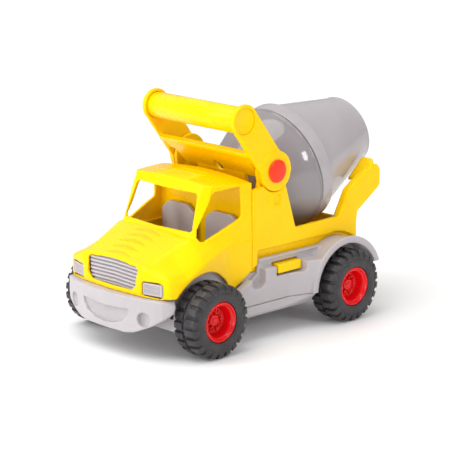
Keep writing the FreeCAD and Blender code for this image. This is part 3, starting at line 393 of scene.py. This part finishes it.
def make_tyre(node):
    """A tyre with two rows of blocks, the second half a pitch behind the first."""
    low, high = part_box(node)
    centre = (low + high) / 2
    radius = (high.z - low.z) / 2 / MM
    side = 1 if centre.x > 0 else -1
    angles, pitch, half, wall = lug_angles(radius)
    section = TYRE_HALF + [(-out, r, cut) for out, r, cut in reversed(TYRE_HALF)]
    bm = bmesh.new()
    grid = []
    for out, r, cut in section:
        shift = 0.0 if out > 0 else pitch / 2
        ring = []
        for angle in angles:
            depth = cut * gap_depth(angle, pitch, half, wall, shift) * LUG_DEPTH_MM
            lean = min(max((abs(out) - SHOULDER_START_MM) / SHOULDER_WIDTH_MM, 0.0), 1.0)
            here = max(r - depth * (1.0 - SHOULDER_DROP * lean), TYRE_BORE_MM)
            across = out - math.copysign(depth * SHOULDER_PULL * lean, out)
            ring.append(bm.verts.new((here * math.cos(angle) * MM, here * math.sin(angle) * MM,
                                      across * MM)))
        grid.append(ring)
    for k in range(len(grid)):
        one, two = grid[k], grid[(k + 1) % len(grid)]
        for j in range(len(angles)):
            after = (j + 1) % len(angles)
            bm.faces.new([one[j], one[after], two[after], two[j]])
    bm.transform(frame_at(centre, (side, 0, 0)))
    mesh = mesh_from(bm, node + "_tread")
    smooth_shade(mesh, angle=34.0)
    place_piece(mesh, node + "_tread", node)


# Section of the wheel hub, in millimetres: radius and distance out from its middle.
RIM_SECTION = [
    (2.05, -11.0), (5.0, -11.0), (5.0, -1.5), (16.1, -1.5), (16.1, -12.0), (18.5, -12.0),
    (18.5, 12.7), (17.7, 13.6), (16.6, 13.3), (15.9, 11.9), (14.9, 11.5), (14.2, 10.6),
    (13.5, 8.8), (12.3, 3.0), (11.4, 2.1), (6.4, 1.6), (5.9, 2.0), (5.4, 4.4), (4.6, 5.1),
    (2.05, 5.2)]
RIM_CORNER_MM = 0.7
KNOBS = 8
STUD_ROOT_MM = 0.6
STUD_STEPS = 20
RIB_FALL_MM = 0.9
RIB_TAPER = 0.7


def add_knob(bm, across, around, base, radius, height):
    """A low round-topped stud standing on the dish."""
    outline = [(radius, -STUD_ROOT_MM), (radius, height * 0.55), (radius * 0.86, height * 0.85),
               (radius * 0.5, height), (0.0, height), (0.0, -STUD_ROOT_MM)]
    stud = bmesh.new()
    turned(stud, [(r * MM, (base + s) * MM) for r, s in outline], STUD_STEPS)
    stud.transform(Matrix.Translation((across * math.cos(around) * MM,
                                       across * math.sin(around) * MM, 0)))
    scratch = bpy.data.meshes.new("stud")
    stud.to_mesh(scratch)
    stud.free()
    bm.from_mesh(scratch)


def add_rib(bm, around, inner, outer, low, high, half):
    """A radial rib on the dish, lower towards its outer end."""
    turn = Matrix.Rotation(around, 4, "Z")
    section = [(inner, -half), (outer, -half * RIB_TAPER), (outer, half * RIB_TAPER),
               (inner, half)]
    top = [high, high - RIB_FALL_MM, high - RIB_FALL_MM, high]
    lower = [bm.verts.new(turn @ Vector((x * MM, y * MM, low * MM))) for x, y in section]
    upper = [bm.verts.new(turn @ Vector((x * MM, y * RIB_TAPER * MM, up * MM)))
             for (x, y), up in zip(section, top)]
    bm.faces.new(upper)
    bm.faces.new(list(reversed(lower)))
    for k in range(4):
        bm.faces.new([lower[k], lower[(k + 1) % 4], upper[(k + 1) % 4], upper[k]])


def make_rim(node, tyre):
    """Dished hub with studs and ribs round its middle and a cap over the axle's end."""
    low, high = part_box(tyre)
    centre = (low + high) / 2
    side = 1 if centre.x > 0 else -1
    bm = bmesh.new()
    turned(bm, [(r * MM, s * MM) for r, s in eased(RIM_SECTION, RIM_CORNER_MM)])
    for k in range(KNOBS):
        around = 2 * math.pi * k / KNOBS
        add_knob(bm, across=9.1, around=around, base=1.9, radius=1.25, height=1.7)
        add_rib(bm, around + math.pi / KNOBS, inner=6.0, outer=11.6, low=1.2, high=3.9, half=0.55)
    add_knob(bm, across=0.0, around=0.0, base=5.15, radius=3.0, height=0.9)
    bm.transform(frame_at(centre, (side, 0, 0)))
    mesh = mesh_from(bm, node + "_dish")
    smooth_shade(mesh, angle=36.0)
    place_piece(mesh, node + "_dish", node)


for place in ("front_left", "front_right", "rear_left", "rear_right"):
    make_tyre("tyre_" + place)
    make_rim("rim_" + place, "tyre_" + place)


# ---------------------------------------------------------------- drum, bar and pins

SPIN = [joint for joint in frame["joints"] if joint["name"] == "drum_spin"][0]
DRUM_FRAME = frame_at(SPIN["pos_m"], SPIN["axis"])
DRUM_STEPS = 160
DOME_STEPS = 7


def make_drum_front():
    """Front dome: flat nose, long smooth flare, a rolled edge at the seam and an inner hub."""
    nose = [(4.1, 9.4), (27.4, 9.4)]
    flare = catmull([(28.6, 9.6), (31.8, 11.2), (37.5, 18.9), (45.0, 31.4), (51.5, 45.0),
                     (56.8, 57.4), (58.9, 64.8), (59.4, 69.0)], DOME_STEPS)
    rolled_edge = [(59.7, 69.6), (60.2, 69.9), (60.38, 70.3), (60.38, 71.0), (60.1, 71.5),
                   (59.4, 71.7), (57.6, 71.7)]
    inside = catmull([(57.5, 71.0), (57.3, 65.4), (54.8, 58.4), (49.5, 46.2), (43.0, 32.8),
                      (35.7, 20.6), (29.6, 13.4), (26.0, 11.7)], DOME_STEPS)
    hub = [(9.4, 11.6), (9.0, 12.0), (9.0, 21.0), (8.6, 21.4), (4.1, 21.4)]
    dome = turned_piece("drum_front_shell", "drum_front_dome",
                        nose + flare + rolled_edge + inside + hub, DRUM_FRAME, DRUM_STEPS)
    # The dome takes the darker grey, which is painted shade.
    dome.data.materials[0] = DOME_PAINTED_SHADE


def make_drum_rear():
    """Rear half: spigot, band, shoulder, cone and a rolled mouth, then back along the inside."""
    outline = [(57.35, 66.8), (57.35, 73.2), (58.9, 73.2), (59.4, 73.4), (59.68, 73.9),
               (59.7, 86.0), (59.6, 86.8), (59.2, 87.5), (58.4, 88.2), (57.2, 88.8),
               (56.5, 89.6), (53.2, 101.2), (45.8, 127.0), (36.4, 159.6), (35.3, 163.6),
               (35.05, 164.8), (35.0, 166.8), (34.7, 167.4), (34.1, 167.78), (33.3, 167.7),
               (32.8, 167.1), (32.5, 164.8), (33.3, 160.4), (54.2, 87.0), (55.2, 84.0),
               (55.2, 66.8)]
    turned_piece("drum_rear_shell", "drum_rear_cone", outline, DRUM_FRAME, DRUM_STEPS,
                 angle=24.0)


def make_handle_bar():
    """A round bar whose two end faces have a rounded edge and a shallow ring groove."""
    low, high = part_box("handle_bar")
    centre = (low + high) / 2
    radius = (high.z - low.z) / 2 / MM
    reach = (high.x - low.x) / 2 / MM
    end = [(radius - 0.02, 0.8), (radius - 0.3, 0.25), (radius - 0.9, 0.0),
           (radius - 1.6, 0.1), (radius - 2.0, 0.5), (radius - 2.6, 0.7), (0.0, 0.75)]
    outline = [(r, reach - s) for r, s in reversed(end)] + [(r, s - reach) for r, s in end]
    turned_piece("handle_bar", "handle_grip", outline, frame_at(centre, (1, 0, 0)))


PIN_SHANK_MM = 5.0
PIN_TIP_MM = 4.2
PIN_DOME_MM = 1.7
PIN_HEAD_MM = 3.05


def make_pin(node):
    """A pin with a chamfered shank and a domed head."""
    low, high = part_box(node)
    centre = (low + high) / 2
    side = 1 if centre.x > 0 else -1
    radius = (high.z - low.z) / 2 / MM
    tip = max(abs(low.x), abs(high.x)) / MM
    root = min(abs(low.x), abs(high.x)) / MM
    dome = [(radius * math.cos(math.radians(a)),
             tip - PIN_DOME_MM * (1 - math.sin(math.radians(a)))) for a in range(25, 91, 5)]
    outline = [(0.0, root), (PIN_TIP_MM, root), (PIN_SHANK_MM, root + 1.0),
               (PIN_SHANK_MM, tip - PIN_HEAD_MM), (radius - 0.3, tip - PIN_HEAD_MM),
               (radius, tip - 2.6), (radius - 0.15, tip - 1.6)] + dome
    place = frame_at((0.0, centre.y, centre.z), (side, 0, 0))
    turned_piece(node, node + "_cap", outline, place, steps=64)


make_drum_front()
make_drum_rear()
make_handle_bar()
make_pin("pivot_pin_left")
make_pin("pivot_pin_right")


# ---------------------------------------------------------------- moulded shells

SMOOTH_FACTOR = 0.5
LEAST_WEIGHT = 0.02


def moulded(node, voxel, rounds, extra):
    """A CAD node recast as one soft-edged moulding; extra smoothing goes by vertex weight."""
    mesh = mesh_from(clean_copy(node), node + "_cast")
    mesh = applied(
        mesh, ("REMESH", {"mode": "VOXEL", "voxel_size": voxel * MM, "adaptivity": 0.0}),
        ("SMOOTH", {"factor": SMOOTH_FACTOR, "iterations": rounds}))
    for weight_of, more in extra:
        mesh = smooth_where(mesh, weight_of, more)
    return mesh


def smooth_where(mesh, weight_of, rounds):
    """Smooth a mesh further where weight_of(position in millimetres) says so."""
    scratch = bpy.data.objects.new("scratch", mesh)
    bpy.context.scene.collection.objects.link(scratch)
    group = scratch.vertex_groups.new(name="soft")
    steps = {}
    for vertex in mesh.vertices:
        weight = weight_of(vertex.co / MM)
        if weight > LEAST_WEIGHT:
            steps.setdefault(round(weight, 1), []).append(vertex.index)
    for weight, members in steps.items():
        group.add(members, weight, "REPLACE")
    made = scratch.modifiers.new("soft", "SMOOTH")
    made.vertex_group = "soft"
    made.factor, made.iterations = SMOOTH_FACTOR, rounds
    ready = scratch.evaluated_get(bpy.context.evaluated_depsgraph_get())
    result = bpy.data.meshes.new_from_object(ready)
    bpy.data.objects.remove(scratch)
    return result


def ramp(value, low, high):
    """0 below low, 1 above high and an even climb between; low may be the larger."""
    return min(max((value - low) / (high - low), 0.0), 1.0)


def cab_softness(at):
    """Where the cab is blended most: the wings, the brow over the grille and the front corners."""
    wings = ramp(at.z, 76.0, 82.0) * ramp(at.z, 104.0, 98.0) * ramp(at.y, -96.0, -104.0)
    brow = ramp(at.y, -136.0, -141.0) * ramp(at.z, 84.5, 87.0)
    corner = ramp(abs(at.x), 60.0, 63.0) * ramp(at.y, -124.0, -132.0) * ramp(at.z, 55.0, 58.5)
    return max(wings, brow, corner)


def roof_softness(at):
    """The roof's front and side edges."""
    edge = max(ramp(at.y, -80.0, -81.5), ramp(abs(at.x), 42.0, 46.0))
    return ramp(at.z, 143.5, 146.0) * edge


# Each shell's node, voxel size in millimetres, rounds of smoothing and extra smoothing.
SHELL_PLAN = (
    ("cab_shell", 0.7, 3, [(cab_softness, 50), (roof_softness, 16)]),
    ("chassis", 0.9, 4, []), ("mixer_frame", 0.9, 4, []), ("tilt_frame", 0.8, 4, []),
    ("base_plate", 1.0, 2, []), ("seat_insert", 0.9, 5, []))
SHELLS = {}
for node, voxel, rounds, extra in SHELL_PLAN:
    mesh = moulded(node, voxel, rounds, extra)
    smooth_shade(mesh, angle=50.0)
    SHELLS[node] = place_piece(mesh, node + "_moulding", node)


# ---------------------------------------------------------------- grille and lamps

def relief(bm, across, up, place, height):
    """A closed panel whose front face is a height field; place maps (a, u, out) to the truck."""
    front = [[bm.verts.new(place(a, u, height(a, u))) for a in across] for u in up]
    back = [[bm.verts.new(place(a, u, 0.0)) for a in across] for u in up]
    rows, columns = len(up), len(across)
    for r in range(rows - 1):
        for c in range(columns - 1):
            for grid in (front, back):
                bm.faces.new([grid[r][c], grid[r][c + 1], grid[r + 1][c + 1], grid[r + 1][c]])
    rim = [(0, c) for c in range(columns)]
    rim += [(r, columns - 1) for r in range(1, rows)]
    rim += [(rows - 1, c) for c in range(columns - 2, -1, -1)]
    rim += [(r, 0) for r in range(rows - 2, 0, -1)]
    for k in range(len(rim)):
        (r0, c0), (r1, c1) = rim[k], rim[(k + 1) % len(rim)]
        bm.faces.new([front[r0][c0], front[r1][c1], back[r1][c1], back[r0][c0]])


def even(low, high, count):
    """A number of values from low to high in equal steps."""
    return [low + (high - low) * k / (count - 1) for k in range(count)]


# Grille panel and slats, in millimetres; its half width, edges and back are in the truck's frame.
GRILLE_HALF = 34.9
GRILLE_LOW = 60.1
GRILLE_HIGH = 84.6
GRILLE_BACK = -142.2
GRILLE_BASE = 2.6
SLAT_PITCH = 3.45
SLAT_START = 61.4
SLAT_HEIGHT = 2.3
SLAT_PEAK = 1.0
SLAT_PEAK_HALF = 33.0


def make_grille():
    """Slightly peaked slats with sloping flanks on one panel."""

    def height(across, up):
        peak = SLAT_PEAK * (1.0 - abs(across) / SLAT_PEAK_HALF)
        phase = ((up - SLAT_START - peak) / SLAT_PITCH) % 1.0
        slat = min(ramp(phase, 0.04, 0.34), ramp(phase, 0.98, 0.74))
        slat = slat * slat * (3 - 2 * slat)
        side = ramp(abs(across), 34.0, 32.4)
        return GRILLE_BASE + SLAT_HEIGHT * slat * side

    bm = bmesh.new()
    relief(bm, even(-GRILLE_HALF, GRILLE_HALF, count=61),
           even(GRILLE_LOW, GRILLE_HIGH, count=110),
           lambda a, u, out: Vector((a, GRILLE_BACK - out, u)) * MM, height)
    mesh = mesh_from(bm, "grille_ribs")
    smooth_shade(mesh, angle=40.0)
    place_piece(mesh, "grille_ribs", "grille_insert")


LAMP_SWEEP = 4.7    # how much further back the outer edge of a lamp stands, in millimetres
LAMP_DEPTH = 4.4
LAMP_BASE = 3.6
LAMP_RIM = 0.8
LENS_RELIEF = 0.88
HATCH_PITCH = 2.3


def make_headlight(node):
    """A lamp block with a raised rim round a cross-hatched lens."""
    low, high = (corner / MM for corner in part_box(node))
    side = 1 if low.x > 0 else -1
    near, far = min(abs(low.x), abs(high.x)), max(abs(low.x), abs(high.x))
    slope = LAMP_SWEEP / (far - near)

    def height(across, up):
        inset = min(across - near, far - across, up - low.z, high.z - up)
        rim = ramp(inset, 1.9, 1.3) * ramp(inset, -0.2, 0.7)
        hatch = max(abs(math.sin((across + up) * math.pi / HATCH_PITCH)),
                    abs(math.sin((across - up) * math.pi / HATCH_PITCH)))
        lens = LENS_RELIEF * (1 - hatch ** 3) * ramp(inset, 1.6, 2.1)
        return LAMP_BASE + LAMP_RIM * rim + lens

    def put(across, up, out):
        face = low.y + LAMP_SWEEP - (far - across) * slope
        return Vector((side * across, face + LAMP_DEPTH - out, up)) * MM

    bm = bmesh.new()
    relief(bm, even(near, far, count=79), even(low.z, high.z, count=45), put, height)
    mesh = mesh_from(bm, node + "_lens")
    smooth_shade(mesh, angle=45.0)
    place_piece(mesh, node + "_lens", node)


make_grille()
make_headlight("headlight_left")
make_headlight("headlight_right")


# ---------------------------------------------------------------- louvres

# Millimetres of the truck's frame; each rib of a set is a step further than the one before.
BONNET_RIBS = 5
BONNET_START, BONNET_STEP = -106.6, -8.6
BONNET_HALF, BONNET_SHORTER = 18.8, 0.6
BONNET_BOW = 1.3
BONNET_RADIUS = 1.35
ROOF_SLATS = 4
ROOF_START, ROOF_STEP = -75.2, 5.6
ROOF_HALF = 19.0
ROOF_RADIUS = 0.75
ABOVE_ALL = 200.0
TUBE_SIDES = 10
TUBE_WIDER = 1.25
TUBE_SUNK = 0.15
TUBE_LEAST_MM = 0.02


def skin_of(piece):
    """A search tree over a piece's faces, for laying things on it."""
    bm = bmesh.new()
    bm.from_mesh(piece.data)
    skin = BVHTree.FromBMesh(bm)
    bm.free()
    return skin


def draped_rib(bm, skin, path, radius):
    """A half-buried tube along points laid on a shell from above; it thins out at both ends."""
    points = []
    for across, y in path:
        hit = skin.ray_cast(Vector((across, y, ABOVE_ALL)) * MM, Vector((0, 0, -1)))
        if hit[0] is not None:
            points.append((hit[0], hit[1]))
    rings = []
    for k, (point, normal) in enumerate(points):
        before, ahead = points[max(k - 1, 0)][0], points[min(k + 1, len(points) - 1)][0]
        along = (ahead - before).normalized()
        across = along.cross(normal).normalized()
        share = k / (len(points) - 1)
        swell = math.sqrt(max(math.sin(math.pi * share), 0.0))
        size = radius * MM * swell + TUBE_LEAST_MM * MM
        rings.append([bm.verts.new(point + across * size * TUBE_WIDER * math.cos(turn)
                                   + normal * size * (math.sin(turn) - TUBE_SUNK))
                      for turn in (math.pi * 2 * j / TUBE_SIDES for j in range(TUBE_SIDES))])
    for one, two in zip(rings, rings[1:]):
        for j in range(TUBE_SIDES):
            after = (j + 1) % TUBE_SIDES
            bm.faces.new([one[j], one[after], two[after], two[j]])
    bm.faces.new(rings[0])
    bm.faces.new(list(reversed(rings[-1])))


def make_louvres():
    """Bowed ribs down the bonnet and thin straight slats on the roof, as one piece."""
    skin = skin_of(SHELLS["cab_shell"])
    bm = bmesh.new()
    shares = even(-1.0, 1.0, count=41)
    for k in range(BONNET_RIBS):
        y, half = BONNET_START + BONNET_STEP * k, BONNET_HALF - BONNET_SHORTER * k
        draped_rib(bm, skin, [(half * s, y - BONNET_BOW * s * s) for s in shares], BONNET_RADIUS)
    for k in range(ROOF_SLATS):
        y = ROOF_START + ROOF_STEP * k
        draped_rib(bm, skin, [(ROOF_HALF * s, y) for s in shares], ROOF_RADIUS)
    mesh = mesh_from(bm, "cab_louvres")
    smooth_shade(mesh, angle=60.0)
    ribs = place_piece(mesh, "cab_louvres", "cab_shell", replaces=False)
    # The ribs take the deeper orange, which is painted shade.
    ribs.data.materials[0] = YELLOW_PAINTED_SHADE


make_louvres()

for node, piece in frame["nodes"].items():
    piece.data.materials.clear()
    piece.data.materials.append(SLOT_LOOK[NODE_SLOT[node]])


# ---------------------------------------------------------------- floor, light and camera

FLOOR_HALF = 8.0
FLOOR_LINES = 9


def make_floor():
    """A wide pale sheet under the truck."""
    bm = bmesh.new()
    lines = even(-FLOOR_HALF, FLOOR_HALF, FLOOR_LINES)
    grid = [[bm.verts.new((x, y, 0.0)) for x in lines] for y in lines]
    for r in range(FLOOR_LINES - 1):
        for c in range(FLOOR_LINES - 1):
            bm.faces.new([grid[r][c], grid[r][c + 1], grid[r + 1][c + 1], grid[r + 1][c]])
    mesh = mesh_from(bm, "floor")
    shader = Shader("floor_white")
    shader.link(shader.blend(shader.noise(3.0), (0.90, 0.90, 0.90), (0.885, 0.885, 0.89)),
                shader.surface.inputs["Base Color"])
    shader.set(Roughness=0.6)
    mesh.materials.append(shader.material)
    floor = bpy.data.objects.new("floor", mesh)
    bpy.context.scene.collection.objects.link(floor)


def studio_world(low, high):
    """Even white light, a little dimmer towards the horizon."""
    world = bpy.data.worlds.new("studio")
    bpy.context.scene.world = world
    world.use_nodes = True
    nodes, links = world.node_tree.nodes, world.node_tree.links
    split = nodes.new("ShaderNodeSeparateXYZ")
    links.new(nodes.new("ShaderNodeTexCoord").outputs["Generated"], split.inputs[0])
    climb = nodes.new("ShaderNodeMapRange")
    for name, value in (("From Min", 0.05), ("From Max", 0.8), ("To Min", low), ("To Max", high)):
        climb.inputs[name].default_value = value
    links.new(split.outputs["Z"], climb.inputs["Value"])
    back = nodes["Background"]
    back.inputs["Color"].default_value = (1.0, 1.0, 1.0, 1.0)
    links.new(climb.outputs["Result"], back.inputs["Strength"])


def aimed(name, data, place, target):
    """Put a light in the scene, facing a point."""
    lamp = bpy.data.objects.new(name, data)
    lamp.matrix_world = Matrix.Translation(place) @ (
        Vector(target) - Vector(place)).to_track_quat("-Z", "Y").to_matrix().to_4x4()
    bpy.context.scene.collection.objects.link(lamp)


def soft_box(name, place, target, size, power):
    """A rectangular light that faces a point."""
    light = bpy.data.lights.new(name, "AREA")
    light.shape = "RECTANGLE"
    light.size, light.size_y = size
    light.energy = power
    aimed(name, light, place, target)


def sky_panel(strength, spread, place):
    """A broad overhead light without a place of its own; only its direction counts."""
    light = bpy.data.lights.new("sky_panel", "SUN")
    light.energy, light.angle = strength, math.radians(spread)
    aimed("sky_panel", light, place, (0.0, 0.0, 0.0))


make_floor()
studio_world(low=0.42, high=0.80)
sky_panel(strength=1.62, spread=50, place=(-0.15, -0.35, 1.0))
soft_box("key_box", place=(-0.55, -1.1, 0.75), target=(0.0, 0.0, 0.12), size=(0.30, 0.45),
         power=4.6)
soft_box("low_box", place=(0.35, -1.5, 0.28), target=(0.0, -0.05, 0.15), size=(1.1, 0.45),
         power=7.4)
soft_box("side_box", place=(1.3, 0.15, 0.70), target=(0.0, 0.0, 0.12), size=(0.22, 0.34),
         power=3.5)

LENS_MM = 151.9
SENSOR_MM = 36.0
CAMERA_PLACE = (1.25732, -1.20766, 0.51783)
CAMERA_BACK = Vector((0.70287, -0.67004, 0.23880)).normalized()
CAMERA_ROLL = math.radians(0.09)
camera_data = bpy.data.cameras.new("camera")
camera_data.lens = LENS_MM
camera_data.sensor_width = SENSOR_MM
camera_data.clip_start, camera_data.clip_end = 0.05, 50.0
camera = bpy.data.objects.new("camera", camera_data)
camera.matrix_world = (Matrix.Translation(CAMERA_PLACE)
                       @ CAMERA_BACK.to_track_quat("Z", "Y").to_matrix().to_4x4()
                       @ Matrix.Rotation(CAMERA_ROLL, 4, "Z"))
bpy.context.scene.collection.objects.link(camera)
bpy.context.scene.camera = camera
bpy.context.scene.view_settings.view_transform = "Standard"
